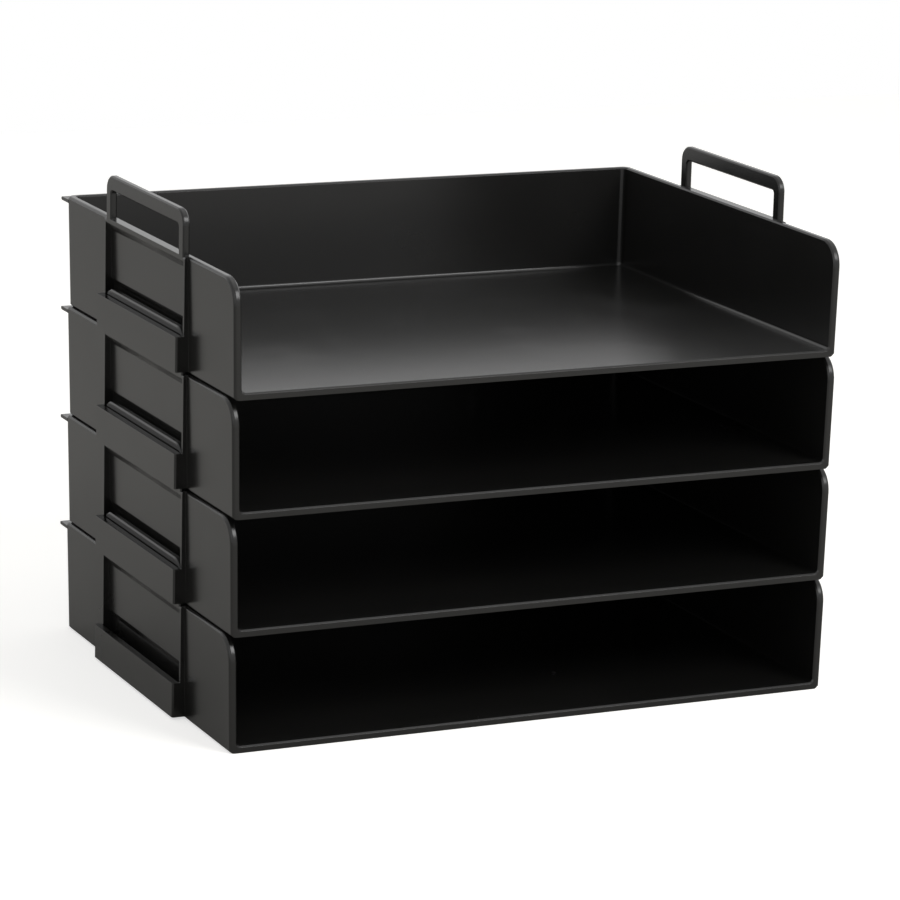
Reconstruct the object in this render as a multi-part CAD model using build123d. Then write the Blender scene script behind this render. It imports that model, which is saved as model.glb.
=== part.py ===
"""Stack of open-front letter trays that lift off one another.

Each tray is one moulding: a floor, two side walls and a back wall, open at the front.
A flat loop handle stands on each side rim. The tray above has a pocket on each side,
made of two ribs and a strap, which the handle of the tray below slides up into.

Millimetres, +Z up, front opening towards -Y, origin at the middle of the footprint.
"""
from build123d import *
from math import radians, tan
import os

# Stack
tray_count = 4
stack_pitch = 59.6  # each tray's underside rests on the rim below it

# Tray body
base_width = 333.0  # across the side walls at the underside
base_depth = 242.0  # front edge to back wall at the underside
wall = 4.0
floor = 3.6
draft = 1.0  # degrees that the side and back walls lean out
back_corner = 5.0
inner_corner = 3.0
floor_fillet = 2.0
base_chamfer = 1.4
front_corner = 13.0  # top front corner of each side wall, seen from the side
rim_round = 1.4  # outer edge of the rim and of the front face
inner_edge_chamfer = 0.8

# Rear lip
lip_reach = 7.0  # how far it stands out behind the back wall
lip_thickness = 1.8
lip_drop = 1.8  # its top below the rim
lip_chamfer = 0.6

# Side pocket
pocket_centre = 120.0  # behind the front edge
pocket_length = 116.0  # over the two ribs
rib_thickness = 1.8
rib_stand = 2.7  # rib's outer face beyond the wall at the underside
panel_recess = 1.2  # panel between the ribs, inside the wall's face
pocket_recess = 2.4  # the same where the handle of the tray below stands
pocket_headroom = 1.0  # above that handle, before the panel steps out
pocket_step = 3.6  # height over which the panel steps out
flange_depth = 2.2  # outer face of the flange that joins the ribs at the rim
flange_taper = 4.5  # height over which the flange runs back into the panel
strap_height = 18.0
strap_lift = 1.4  # strap's lower edge above the underside
strap_thickness = 3.6
strap_chamfer = 0.8

# Handle
handle_rise = 23.0  # above the rim
handle_thickness = 3.6
handle_bar = 7.8
handle_post = 6.5
handle_corner = 8.0
handle_inner_corner = 2.0
handle_chamfer = 0.7
handle_end_clearance = 0.7
handle_panel_clearance = 1.5
handle_strap_clearance = 0.6

# Worked out from the sizes above
slope = tan(radians(draft))
half_width = base_width / 2
rim_half_width = half_width + stack_pitch * slope
rim_back = base_depth + stack_pitch * slope
overall_depth = rim_back + lip_reach
pocket_face = half_width - pocket_recess
handle_inner = pocket_face + handle_panel_clearance
handle_outer = handle_inner + handle_thickness
strap_inner = handle_outer + handle_strap_clearance
strap_outer = strap_inner + strap_thickness
rib_outer = half_width + rib_stand
rib_gap = pocket_length - 2 * rib_thickness
handle_length = rib_gap - 2 * handle_end_clearance
strap_top = strap_lift + strap_height
pocket_top = handle_rise + pocket_headroom
flange_low = stack_pitch - flange_depth
cut_margin = 20.0  # how far cutting shapes run past what they cut
tolerance = 0.01  # for picking edges


def block(x_range, y_range, z_range):
    """Box between two values along each axis."""
    sizes = [high - low for low, high in (x_range, y_range, z_range)]
    corner = Pos(x_range[0], y_range[0], z_range[0])
    return corner * Box(*sizes, align=(Align.MIN, Align.MIN, Align.MIN))


def drafted_block(inset, low, corner):
    """Tray-shaped block that starts at height low and leans out on its sides and back."""
    spread = (stack_pitch - low) * slope
    half = half_width + low * slope - inset
    back = base_depth + low * slope - inset
    across = Polygon(
        (-half, low),
        (half, low),
        (half + spread, stack_pitch),
        (-half - spread, stack_pitch),
        align=None,
    )
    along = Polygon(
        (-cut_margin, low),
        (back, low),
        (back + spread, stack_pitch),
        (-cut_margin, stack_pitch),
        align=None,
    )
    whole = base_depth + 2 * cut_margin
    result = Pos(0, -cut_margin, 0) * extrude(Plane.XZ * across, amount=whole, dir=(0, 1, 0))
    result &= extrude(Plane.YZ * along, amount=half_width + cut_margin, both=True)
    back_face = result.faces().sort_by(Axis.Y)[-1]
    return fillet(back_face.edges().filter_by(Axis.X, reverse=True), corner)


def side_view():
    """Tray seen from the side, with the rounded top front corner of the side walls."""
    view = Rectangle(base_depth + cut_margin, stack_pitch, align=(Align.MIN, Align.MIN))
    top_front = view.vertices().sort_by(Axis.X)[:2].sort_by(Axis.Y)[-1]
    return fillet(top_front, front_corner)


def band_edges(shell):
    """Both outlines of the band that runs up the front edges and along the rim."""
    arc_centre = Vector(0, front_corner, stack_pitch - front_corner)

    def on_band(edge):
        middle = edge @ 0.5
        joins_outlines = edge.length < 2 * wall and abs((edge % 0.5).X) > 1 - tolerance
        reach = (Vector(0, middle.Y, middle.Z) - arc_centre).length
        beyond_centre = middle.Y < arc_centre.Y and middle.Z > arc_centre.Z
        on_arc = beyond_centre and abs(reach - front_corner) < tolerance
        on_front = abs(middle.Y) < tolerance < middle.Z
        on_top = abs(middle.Z - stack_pitch) < tolerance
        return not joins_outlines and (on_arc or on_front or on_top)

    return shell.edges().filter_by(on_band)


def is_outer(edge):
    """Whether an edge lies on the outside of the side walls or the back wall."""
    middle = edge @ 0.5
    wall_face = half_width + middle.Z * slope
    back_face = base_depth + middle.Z * slope
    return abs(middle.X) > wall_face - wall / 2 or middle.Y > back_face - wall / 2


def tray_shell():
    """Floor, side walls and back wall, open at the front."""
    outer = drafted_block(0, 0, back_corner)
    outer = chamfer(outer.faces().sort_by(Axis.Z)[0].edges(), base_chamfer)
    cavity = drafted_block(wall, floor, inner_corner)
    cavity = fillet(cavity.faces().sort_by(Axis.Z)[0].edges(), floor_fillet)
    view = extrude(Plane.YZ * side_view(), amount=half_width + cut_margin, both=True)
    shell = (outer - cavity) & view
    shell = fillet(band_edges(shell).filter_by(is_outer), rim_round)
    inner = band_edges(shell).filter_by(lambda edge: not is_outer(edge))
    return chamfer(inner, inner_edge_chamfer)


def rear_lip():
    """Thin flange that stands out behind the back wall, over the tray's full width."""
    top = stack_pitch - lip_drop
    lip = block(
        (-rim_half_width, rim_half_width),
        (rim_back - wall, overall_depth),
        (top - lip_thickness, top),
    )
    return chamfer(lip.edges().filter_by(Axis.X).group_by(Axis.Y)[-1], lip_chamfer)


def wall_line(recess, height):
    """Point of a side wall's outer face, moved in by a recess."""
    return (half_width + height * slope - recess, height)


def panel_cutter(ends):
    """Cuts the panel between the ribs to its stepped profile, open at the underside."""
    section = Polygon(
        (pocket_face, -cut_margin),
        (pocket_face, pocket_top),
        wall_line(panel_recess, pocket_top + pocket_step),
        wall_line(panel_recess, flange_low - flange_taper),
        (rib_outer, flange_low),
        (rib_outer + cut_margin, flange_low),
        (rib_outer + cut_margin, -cut_margin),
        align=None,
    )
    cutter = extrude(Plane.XZ * section, amount=ends[1] - ends[0], dir=(0, 1, 0))
    return Pos(0, ends[0], 0) * cutter


def flange(ends):
    """Flange that joins the ribs at the rim, before its underside is cut to a taper."""
    z_range = (flange_low - flange_taper, stack_pitch)
    bar = block((rim_half_width - wall / 2, rib_outer), ends, z_range)
    top_edge = bar.edges().filter_by(Axis.Y).group_by(Axis.X)[-1].sort_by(Axis.Z)[-1]
    return fillet(top_edge, rim_round)


def ribs_and_strap(ends, inner_ends):
    """Two upright ribs and the strap that joins them low down, clear of the panel."""
    strap = block((pocket_face, strap_outer), ends, (strap_lift, strap_top))
    strap = chamfer(strap.edges().filter_by(Axis.Z).group_by(Axis.X)[-1], strap_chamfer)
    strap -= block((pocket_face - cut_margin, strap_inner), inner_ends, (0, stack_pitch))
    result = strap
    for low in (ends[0], inner_ends[1]):
        result += block((pocket_face, rib_outer), (low, low + rib_thickness), (strap_lift, flange_low))
    return result


def handle(ends):
    """Flat loop that stands on the side rim."""
    outline = block((0, handle_thickness), ends, (-flange_depth, handle_rise))
    top_corners = outline.edges().filter_by(Axis.X).group_by(Axis.Z)[-1]
    outline = fillet(top_corners, handle_corner)
    opening = block(
        (-cut_margin, cut_margin),
        (ends[0] + handle_post, ends[1] - handle_post),
        (0, handle_rise - handle_bar),
    )
    opening = fillet(opening.edges().filter_by(Axis.X).group_by(Axis.Z)[-1], handle_inner_corner)
    loop = outline - opening
    rims = loop.faces().filter_by(Axis.X).edges().filter_by(lambda edge: (edge @ 0.5).Z > 0)
    return Pos(handle_inner, 0, stack_pitch) * chamfer(rims, handle_chamfer)


def tray():
    """One tray with its front edge at Y = 0 and its underside at Z = 0."""
    ends = (pocket_centre - pocket_length / 2, pocket_centre + pocket_length / 2)
    inner_ends = (ends[0] + rib_thickness, ends[1] - rib_thickness)
    handle_ends = (pocket_centre - handle_length / 2, pocket_centre + handle_length / 2)
    cutter = panel_cutter(inner_ends)
    side = ribs_and_strap(ends, inner_ends) + handle(handle_ends)
    bar = flange(ends)
    body = tray_shell() + rear_lip()
    body += [bar, mirror(bar, Plane.YZ)]
    body -= [cutter, mirror(cutter, Plane.YZ)]
    body += [side, mirror(side, Plane.YZ)]
    return body


os.makedirs("parts", exist_ok=True)
moulding = Pos(0, -overall_depth / 2, 0) * tray()
for number in range(tray_count):
    placed = Pos(0, 0, number * stack_pitch) * moulding
    export_step(placed, f"parts/tray_{number + 1}.step")
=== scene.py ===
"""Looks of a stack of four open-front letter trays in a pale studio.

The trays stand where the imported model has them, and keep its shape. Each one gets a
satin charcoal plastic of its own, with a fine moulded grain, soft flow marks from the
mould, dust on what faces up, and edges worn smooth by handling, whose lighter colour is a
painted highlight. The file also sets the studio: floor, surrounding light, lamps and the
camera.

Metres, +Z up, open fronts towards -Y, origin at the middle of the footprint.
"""
import logging
import math
from dataclasses import dataclass, field
from enum import Enum

import bpy
from mathutils import Matrix, Vector


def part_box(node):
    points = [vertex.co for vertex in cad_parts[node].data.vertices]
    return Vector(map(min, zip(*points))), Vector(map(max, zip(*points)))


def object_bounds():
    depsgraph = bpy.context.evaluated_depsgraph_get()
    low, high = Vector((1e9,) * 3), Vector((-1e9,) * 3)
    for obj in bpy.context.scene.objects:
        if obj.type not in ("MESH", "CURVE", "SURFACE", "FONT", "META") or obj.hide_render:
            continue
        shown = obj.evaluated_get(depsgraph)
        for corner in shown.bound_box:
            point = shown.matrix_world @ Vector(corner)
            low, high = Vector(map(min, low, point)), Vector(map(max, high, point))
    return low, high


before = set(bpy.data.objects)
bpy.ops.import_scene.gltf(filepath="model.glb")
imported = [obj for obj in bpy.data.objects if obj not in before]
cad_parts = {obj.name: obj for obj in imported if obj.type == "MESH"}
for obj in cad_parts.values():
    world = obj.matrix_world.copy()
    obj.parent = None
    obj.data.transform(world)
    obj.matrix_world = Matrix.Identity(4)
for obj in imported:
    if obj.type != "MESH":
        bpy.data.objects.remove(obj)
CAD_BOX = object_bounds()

MILLIMETRE = 0.001
LOG = logging.getLogger("letter_trays")

Colour = tuple[float, float, float]
Place = tuple[float, float, float]
Span = tuple[float, float]

WHITE: Colour = (1.0, 1.0, 1.0)


class Ray(Enum):
    """Kinds of light ray that see the studio's white instead of its lamps' level."""

    CAMERA = "Is Camera Ray"
    GLOSSY = "Is Glossy Ray"
    TRANSMISSION = "Is Transmission Ray"


class LampRole(Enum):
    """What a studio lamp is there for."""

    KEY = "key"
    TOP = "top"
    FILL = "fill"


def opaque(colour: Colour) -> tuple[float, float, float, float]:
    """Returns the colour with full alpha."""
    return (*colour, 1.0)


class NodeBoard:
    """Places and links the nodes of one node tree.

    Args:
        tree: The node tree that is filled.
    """

    def __init__(self, tree: bpy.types.NodeTree) -> None:
        """Keeps the tree and empties it."""
        self.tree = tree
        self.tree.nodes.clear()

    def add(self, kind: str, **settings: object) -> bpy.types.Node:
        """Adds a node.

        Args:
            kind: The node's type name, without its "ShaderNode" prefix.
            **settings: Attributes to set on the node.

        Returns:
            The new node.
        """
        prefix = "" if kind.startswith("NodeGroup") else "ShaderNode"
        node = self.tree.nodes.new(prefix + kind)
        for name, value in settings.items():
            setattr(node, name, value)
        return node

    def feed(self, node: bpy.types.Node, **inputs: object) -> bpy.types.Node:
        """Sets or links a node's inputs.

        Args:
            node: The node whose inputs are set.
            **inputs: One value or output socket for each input. An underscore stands for a
                blank, and a name such as i1 means the input at place 1.

        Returns:
            The same node.
        """
        for name, value in inputs.items():
            by_place = name[0] == "i" and name[1:].isdigit()
            socket = node.inputs[int(name[1:]) if by_place else name.replace("_", " ")]
            if isinstance(value, bpy.types.NodeSocket):
                self.tree.links.new(value, socket)
            else:
                socket.default_value = value
        return node

    def math(
        self, operation: str, first: object, second: object = 0.0, third: object = 0.0
    ) -> bpy.types.NodeSocket:
        """Adds a Math node.

        Args:
            operation: The node's operation.
            first: Its first value or output socket.
            second: Its second value or output socket.
            third: Its third value or output socket, for an operation that has one.

        Returns:
            The node's output.
        """
        node = self.add("Math", operation=operation)
        return self.feed(node, i0=first, i1=second, i2=third).outputs[0]

    def remap(
        self, value: bpy.types.NodeSocket, source: Span, target: Span = (0.0, 1.0)
    ) -> bpy.types.NodeSocket:
        """Maps a value smoothly from one range to another.

        Args:
            value: The output socket that is mapped.
            source: The lowest and highest value that count.
            target: What they become.

        Returns:
            The mapped value, held inside the target range.
        """
        node = self.add("MapRange", interpolation_type="SMOOTHSTEP")
        self.feed(node, Value=value, From_Min=source[0], From_Max=source[1])
        return self.feed(node, To_Min=target[0], To_Max=target[1]).outputs["Result"]

    def noise(self, vector: bpy.types.NodeSocket, scale: object, detail: float) -> bpy.types.NodeSocket:
        """Adds a noise texture.

        Args:
            vector: The coordinates that it reads.
            scale: Its scale, or an output socket that holds it.
            detail: Its octaves.

        Returns:
            The noise's value.
        """
        node = self.add("TexNoise")
        return self.feed(node, Vector=vector, Scale=scale, Detail=detail).outputs["Fac"]


class EffectGroup:
    """A shader node group with named inputs and outputs, built once.

    Subclasses give the group's name, inputs and outputs, and build its inside.
    """

    name: str = ""
    inputs: dict[str, tuple[str, float]] = {}
    outputs: dict[str, str] = {}

    def __init__(self) -> None:
        """Makes the group's sockets and builds its inside."""
        self.tree = bpy.data.node_groups.new(self.name, "ShaderNodeTree")
        self.board = NodeBoard(self.tree)
        face = self.tree.interface
        for label, (kind, value) in self.inputs.items():
            socket = face.new_socket(label, in_out="INPUT", socket_type=kind)
            if kind == "NodeSocketFloat":
                socket.default_value = value
        for label, kind in self.outputs.items():
            face.new_socket(label, in_out="OUTPUT", socket_type=kind)
        self.source = self.board.add("NodeGroupInput")
        self.sink = self.board.add("NodeGroupOutput")
        self.build()

    def build(self) -> None:
        """Fills the group. Subclasses say how."""
        raise NotImplementedError

    def place(self, board: NodeBoard, **inputs: object) -> bpy.types.Node:
        """Places the group in a material.

        Args:
            board: The material's node board.
            **inputs: Values or output sockets for the group's inputs.

        Returns:
            The group node.
        """
        node = board.add("Group")
        node.node_tree = self.tree
        return board.feed(node, **inputs)


class MouldedGrain(EffectGroup):
    """Fine spark-eroded grain with broad, faint flow marks, as a height in metres."""

    name = "moulded_grain"
    inputs = {
        "Place": ("NodeSocketVector", 0.0),
        "Grain Scale": ("NodeSocketFloat", 2400.0),
        "Grain Height": ("NodeSocketFloat", 0.000004),
        "Flow Height": ("NodeSocketFloat", 0.00002),
    }
    outputs = {"Height": "NodeSocketFloat", "Flow": "NodeSocketFloat"}
    flow_marks_per_metre: Place = (5.0, 9.0, 16.0)
    grain_detail: float = 2.0
    flow_detail: float = 3.0

    def build(self) -> None:
        """Adds the grain to stretched flow marks."""
        board, given = self.board, self.source.outputs
        grain = board.noise(given["Place"], given["Grain Scale"], self.grain_detail)
        stretched = board.add("Mapping")
        board.feed(stretched, Vector=given["Place"], Scale=self.flow_marks_per_metre)
        flow = board.noise(stretched.outputs["Vector"], 1.0, self.flow_detail)
        low = board.math("MULTIPLY", grain, given["Grain Height"])
        high = board.math("MULTIPLY", flow, given["Flow Height"])
        board.feed(self.sink, Height=board.math("ADD", low, high), Flow=flow)


class SoftEdges(EffectGroup):
    """Rounds sharp edges a little and marks where handling has worn them smooth. The mark lowers the
    roughness there and lays a painted highlight in the colour.
    """

    name = "soft_edges"
    inputs = {
        "Place": ("NodeSocketVector", 0.0),
        "Radius": ("NodeSocketFloat", 0.0004),
        "Breakup Scale": ("NodeSocketFloat", 60.0),
    }
    outputs = {"Normal": "NodeSocketVector", "Polish": "NodeSocketFloat"}
    samples: int = 6
    edge_turn: Span = (0.01, 0.14)
    worn_patches: Span = (0.35, 0.65)
    least_wear: float = 0.25
    wear_detail: float = 3.0

    def build(self) -> None:
        """Compares the rounded normal with the face's own."""
        board, given = self.board, self.source.outputs
        rounded = board.add("Bevel", samples=self.samples)
        board.feed(rounded, Radius=given["Radius"])
        flat = board.add("NewGeometry").outputs["Normal"]
        across = board.add("VectorMath", operation="DOT_PRODUCT")
        board.feed(across, i0=rounded.outputs["Normal"], i1=flat)
        turned = board.math("SUBTRACT", 1.0, across.outputs["Value"])
        edge = board.remap(turned, self.edge_turn)
        breakup = board.noise(given["Place"], given["Breakup Scale"], self.wear_detail)
        worn = board.remap(breakup, self.worn_patches, (self.least_wear, 1.0))
        # The edge mark feeds both the lower roughness of worn edges and a painted highlight in the
        # colour.
        polish = board.math("MULTIPLY", edge, worn)
        board.feed(self.sink, Normal=rounded.outputs["Normal"], Polish=polish)


class Handling(EffectGroup):
    """Cloudy marks where fingers and paper have passed, and dust on what faces up."""

    name = "handling"
    inputs = {
        "Place": ("NodeSocketVector", 0.0),
        "Cloud Scale": ("NodeSocketFloat", 14.0),
        "Dust Scale": ("NodeSocketFloat", 420.0),
    }
    outputs = {"Smudge": "NodeSocketFloat", "Dust": "NodeSocketFloat"}
    cloud_detail: float = 5.0
    cloud_edge: Span = (0.45, 0.75)
    speck_detail: float = 4.0
    speck_edge: Span = (0.60, 0.80)
    upward_face: Span = (0.6, 1.0)

    def build(self) -> None:
        """Lays clouds of smudges, and specks that only lie on upward faces."""
        board, given = self.board, self.source.outputs
        clouds = board.noise(given["Place"], given["Cloud Scale"], self.cloud_detail)
        smudge = board.remap(clouds, self.cloud_edge)
        specks = board.noise(given["Place"], given["Dust Scale"], self.speck_detail)
        fine = board.remap(specks, self.speck_edge)
        normal = board.add("NewGeometry").outputs["Normal"]
        split = board.add("SeparateXYZ")
        board.feed(split, Vector=normal)
        upward = board.remap(split.outputs["Z"], self.upward_face)
        board.feed(self.sink, Smudge=smudge, Dust=board.math("MULTIPLY", fine, upward))


@dataclass(frozen=True)
class Effects:
    """The shared effect groups, built once for all finishes."""

    grain: MouldedGrain = field(default_factory=MouldedGrain)
    edges: SoftEdges = field(default_factory=SoftEdges)
    handling: Handling = field(default_factory=Handling)


@dataclass(frozen=True)
class SatinPlastic:
    """Charcoal black moulded plastic with a satin surface.

    Colours are linear. Lengths are in metres.
    """

    body: Colour = (0.0082, 0.0080, 0.0076)
    flow_mark: Colour = (0.0102, 0.0100, 0.0094)
    # A lighter colour on edges worn by handling: a painted highlight.
    polished_edge_highlight: Colour = (0.0150, 0.0150, 0.0143)
    dust: Colour = (0.16, 0.155, 0.145)
    roughness: float = 0.22
    smudge_roughness: float = 0.06
    polish_roughness: float = 0.04
    refraction: float = 1.42
    edge_radius: float = 0.25 * MILLIMETRE
    dust_amount: float = 0.05
    grain_strength: float = 0.6
    flow_edge: Span = (0.35, 0.70)
    shift_per_tray: Vector = Vector((0.43, 0.71, 0.29))

    def material(self, number: int, effects: Effects) -> bpy.types.Material:
        """Builds the finish for one tray.

        Args:
            number: The tray's place in the stack, from 1. It moves the patterns, so that no
                two trays are marked alike.
            effects: The shared effect groups.

        Returns:
            The material.
        """
        material = bpy.data.materials.new(f"satin_plastic_{number}")
        material.use_nodes = True
        board = NodeBoard(material.node_tree)
        place = board.add("TexCoord").outputs["Object"]
        moved = board.add("Mapping")
        board.feed(moved, Vector=place, Location=self.shift_per_tray * number)
        here = moved.outputs["Vector"]
        grain = effects.grain.place(board, Place=here)
        edges = effects.edges.place(board, Place=here, Radius=self.edge_radius)
        handling = effects.handling.place(board, Place=here)
        bump = board.add("Bump")
        board.feed(bump, Height=grain.outputs["Height"], Normal=edges.outputs["Normal"])
        board.feed(bump, Strength=self.grain_strength, Distance=1.0)
        shader = board.add("BsdfPrincipled")
        board.feed(shader, Base_Color=self.colour(board, grain, edges, handling))
        board.feed(shader, Roughness=self.gloss(board, edges, handling))
        board.feed(shader, Normal=bump.outputs["Normal"], IOR=self.refraction)
        output = board.add("OutputMaterial")
        board.feed(output, Surface=shader.outputs["BSDF"])
        return material

    def colour(
        self,
        board: NodeBoard,
        grain: bpy.types.Node,
        edges: bpy.types.Node,
        handling: bpy.types.Node,
    ) -> bpy.types.NodeSocket:
        """Mixes the body colour with flow marks, a painted highlight on handled edges, and dust.

        Args:
            board: The material's node board.
            grain: The placed grain group.
            edges: The placed edge group.
            handling: The placed handling group.

        Returns:
            The colour socket.
        """
        flow = board.remap(grain.outputs["Flow"], self.flow_edge)
        tint = self.blend(board, flow, opaque(self.body), opaque(self.flow_mark))
        # Lighter colour on handled edges: a painted highlight, beside the real drop in roughness.
        tint = self.blend(board, edges.outputs["Polish"], tint, opaque(self.polished_edge_highlight))
        amount = board.math("MULTIPLY", handling.outputs["Dust"], self.dust_amount)
        return self.blend(board, amount, tint, opaque(self.dust))

    def gloss(
        self, board: NodeBoard, edges: bpy.types.Node, handling: bpy.types.Node
    ) -> bpy.types.NodeSocket:
        """Works out the roughness from smudges and polished edges.

        Args:
            board: The material's node board.
            edges: The placed edge group.
            handling: The placed handling group.

        Returns:
            The roughness socket.
        """
        smudge = board.math("MULTIPLY", handling.outputs["Smudge"], self.smudge_roughness)
        polish = board.math("MULTIPLY", edges.outputs["Polish"], self.polish_roughness)
        return board.math("SUBTRACT", board.math("ADD", smudge, self.roughness), polish)

    @staticmethod
    def blend(
        board: NodeBoard, amount: bpy.types.NodeSocket, first: object, second: object
    ) -> bpy.types.NodeSocket:
        """Mixes two colours.

        Args:
            board: The material's node board.
            amount: How much of the second shows.
            first: A colour or an output socket.
            second: A colour or an output socket.

        Returns:
            The mixed colour.
        """
        node = board.add("Mix", data_type="RGBA")
        # For colours, the node takes them at places 6 and 7 and gives the mix at 2.
        board.feed(node, i0=amount, i6=first, i7=second)
        return node.outputs[2]


@dataclass
class LetterTray:
    """One tray of the stack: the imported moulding, dressed.

    Args:
        node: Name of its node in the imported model.
        number: Its place in the stack, from 1 at the bottom.
    """

    node: str
    number: int

    def dress(self, finish: SatinPlastic, effects: Effects) -> bpy.types.Object:
        """Puts the finish on the moulding's material slots.

        Args:
            finish: The plastic that it is moulded in.
            effects: The shared effect groups.

        Returns:
            The tray's object.
        """
        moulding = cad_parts[self.node]
        material = finish.material(self.number, effects)
        for slot in moulding.material_slots:
            slot.material = material
        return moulding


@dataclass
class TrayStack:
    """The whole stack, from the bottom tray up."""

    finish: SatinPlastic = SatinPlastic()

    def trays(self) -> list[LetterTray]:
        """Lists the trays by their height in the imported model."""
        nodes = sorted(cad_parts, key=lambda node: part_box(node)[0].z)
        return [LetterTray(node, place + 1) for place, node in enumerate(nodes)]

    def build(self) -> list[bpy.types.Object]:
        """Dresses every tray.

        Returns:
            The trays' objects, from the bottom up.
        """
        effects = Effects()
        return [tray.dress(self.finish, effects) for tray in self.trays()]


class SeenWhite:
    """White for the camera and for reflections, and another level for the light itself."""

    @staticmethod
    def mask(board: NodeBoard, in_gloss: float = 1.0) -> bpy.types.NodeSocket:
        """Marks the rays that see white.

        Args:
            board: The node board of the material or world.
            in_gloss: How much of the white shows in reflections, from 0 to 1.

        Returns:
            A socket that is 1 for the rays that see white, and 0 for the rest.
        """
        path = board.add("LightPath")
        seen = path.outputs[Ray.CAMERA.value]
        seen = board.math("MAXIMUM", seen, path.outputs[Ray.TRANSMISSION.value])
        gloss = board.math("MULTIPLY", path.outputs[Ray.GLOSSY.value], in_gloss)
        return board.math("MAXIMUM", seen, gloss)


@dataclass(frozen=True)
class Lamp:
    """Soft rectangular lamp that faces the stack.

    Args:
        role: What the lamp is for.
        place: Its middle, in metres.
        size: Its width and height, in metres.
        watts: Its strength.
    """

    role: LampRole
    place: Place
    size: Span
    watts: float

    def hang(self) -> bpy.types.Object:
        """Makes the lamp and turns it to the middle of the stack.

        Returns:
            The lamp's object.
        """
        data = bpy.data.lights.new(f"{self.role.value}_lamp", "AREA")
        data.shape = "RECTANGLE"
        data.size, data.size_y = self.size
        data.energy = self.watts
        lamp = bpy.data.objects.new(data.name, data)
        middle = (CAD_BOX[0][2] + CAD_BOX[1][2]) / 2
        aim = Vector((0.0, 0.0, middle)) - Vector(self.place)
        turn = aim.to_track_quat("-Z", "Y").to_matrix().to_4x4()
        lamp.matrix_world = Matrix.Translation(self.place) @ turn
        bpy.context.scene.collection.objects.link(lamp)
        return lamp


@dataclass
class Studio:
    """Pale floor, surrounding light and lamps.

    The camera sees the floor and the surroundings as white. The floor is lit more softly
    than that, and reflections see only a little of the lift that makes it white. Lengths
    are in metres.
    """

    floor_side: float = 3.4
    floor_colour: Colour = (0.80, 0.785, 0.745)
    floor_roughness: float = 0.9
    floor_lift: float = 0.62
    floor_gloss: float = 0.05
    ambient: float = 0.36
    white: float = 1.0

    lamps: tuple[Lamp, ...] = (
        Lamp(LampRole.KEY, (0.70, -1.40, 1.30), (0.85, 0.85), 17.0),
        Lamp(LampRole.TOP, (0.2, 0.0, 1.9), (1.6, 1.6), 5.0),
        Lamp(LampRole.FILL, (-1.5, -1.4, 1.1), (1.4, 1.2), 3.0),
    )

    def build(self) -> None:
        """Makes the floor, the world and the lamps."""
        self.floor()
        self.world()
        for lamp in self.lamps:
            lamp.hang()

    def floor(self) -> None:
        """Lays the pale floor that the stack stands on."""
        mesh = bpy.data.meshes.new("studio_floor")
        half = self.floor_side / 2
        corners = [(-half, -half, 0), (half, -half, 0), (half, half, 0), (-half, half, 0)]
        mesh.from_pydata(corners, [], [(0, 1, 2, 3)])
        floor = bpy.data.objects.new("studio_floor", mesh)
        bpy.context.scene.collection.objects.link(floor)
        material = bpy.data.materials.new("studio_floor")
        material.use_nodes = True
        board = NodeBoard(material.node_tree)
        shader = board.add("BsdfPrincipled")
        board.feed(shader, Base_Color=opaque(self.floor_colour), Roughness=self.floor_roughness)
        board.feed(shader, Emission_Color=opaque(WHITE))
        lift = board.math("MULTIPLY", SeenWhite.mask(board, self.floor_gloss), self.floor_lift)
        board.feed(shader, Emission_Strength=lift)
        board.feed(board.add("OutputMaterial"), Surface=shader.outputs["BSDF"])
        mesh.materials.append(material)

    def world(self) -> None:
        """Surrounds the stack with soft light that the camera and gloss see as white."""
        world = bpy.data.worlds.new("studio")
        world.use_nodes = True
        bpy.context.scene.world = world
        board = NodeBoard(world.node_tree)
        mask = SeenWhite.mask(board)
        strength = board.math("MULTIPLY_ADD", mask, self.white - self.ambient, self.ambient)
        background = board.add("Background")
        board.feed(background, Color=opaque(WHITE), Strength=strength)
        board.feed(board.add("OutputWorld"), Surface=background.outputs["Background"])


@dataclass
class PhotoCamera:
    """Camera at the photograph's viewing angle.

    Angles are in degrees. The yaw turns from +Y towards +X, and the tilt is downwards.
    """

    left: float = 0.8904
    before_front: float = 1.81207
    height: float = 0.62647
    yaw: float = 24.853
    tilt: float = 13.534
    roll: float = 1.507
    focal_length: float = 165.4
    sensor: float = 36.0
    sight: float = 50.0

    def build(self) -> bpy.types.Object:
        """Makes the camera and gives it to the scene.

        Returns:
            The camera's object.
        """
        data = bpy.data.cameras.new("photo_camera")
        data.lens = self.focal_length
        data.sensor_width = self.sensor
        data.clip_end = self.sight
        camera = bpy.data.objects.new("photo_camera", data)
        bpy.context.scene.collection.objects.link(camera)
        place = Vector((-self.left, CAD_BOX[0][1] - self.before_front, self.height))
        camera.matrix_world = Matrix.Translation(place) @ self.turn().to_4x4()
        bpy.context.scene.camera = camera
        return camera

    def turn(self) -> Matrix:
        """Returns the camera's rotation, with its right, up and back directions as columns."""
        yaw, tilt, roll = (math.radians(a) for a in (self.yaw, self.tilt, self.roll))
        level = Vector((math.cos(yaw), -math.sin(yaw), 0.0))
        ahead = Vector((math.sin(yaw) * math.cos(tilt), math.cos(yaw) * math.cos(tilt), -math.sin(tilt)))
        upright = level.cross(ahead)
        right = math.cos(roll) * level + math.sin(roll) * upright
        up = math.cos(roll) * upright - math.sin(roll) * level
        return Matrix((right, up, -ahead)).transposed()


def main() -> None:
    """Builds the stack, the studio and the camera, and logs where the camera stands."""
    logging.basicConfig(level=logging.INFO, format="%(name)s: %(message)s")
    for tray in TrayStack().build():
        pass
    Studio().build()
    camera = PhotoCamera().build()
    LOG.info("camera at %s", [round(v, 4) for v in camera.matrix_world.translation])
    bpy.context.scene.view_settings.view_transform = "Standard"


if __name__ == "__main__":
    main()
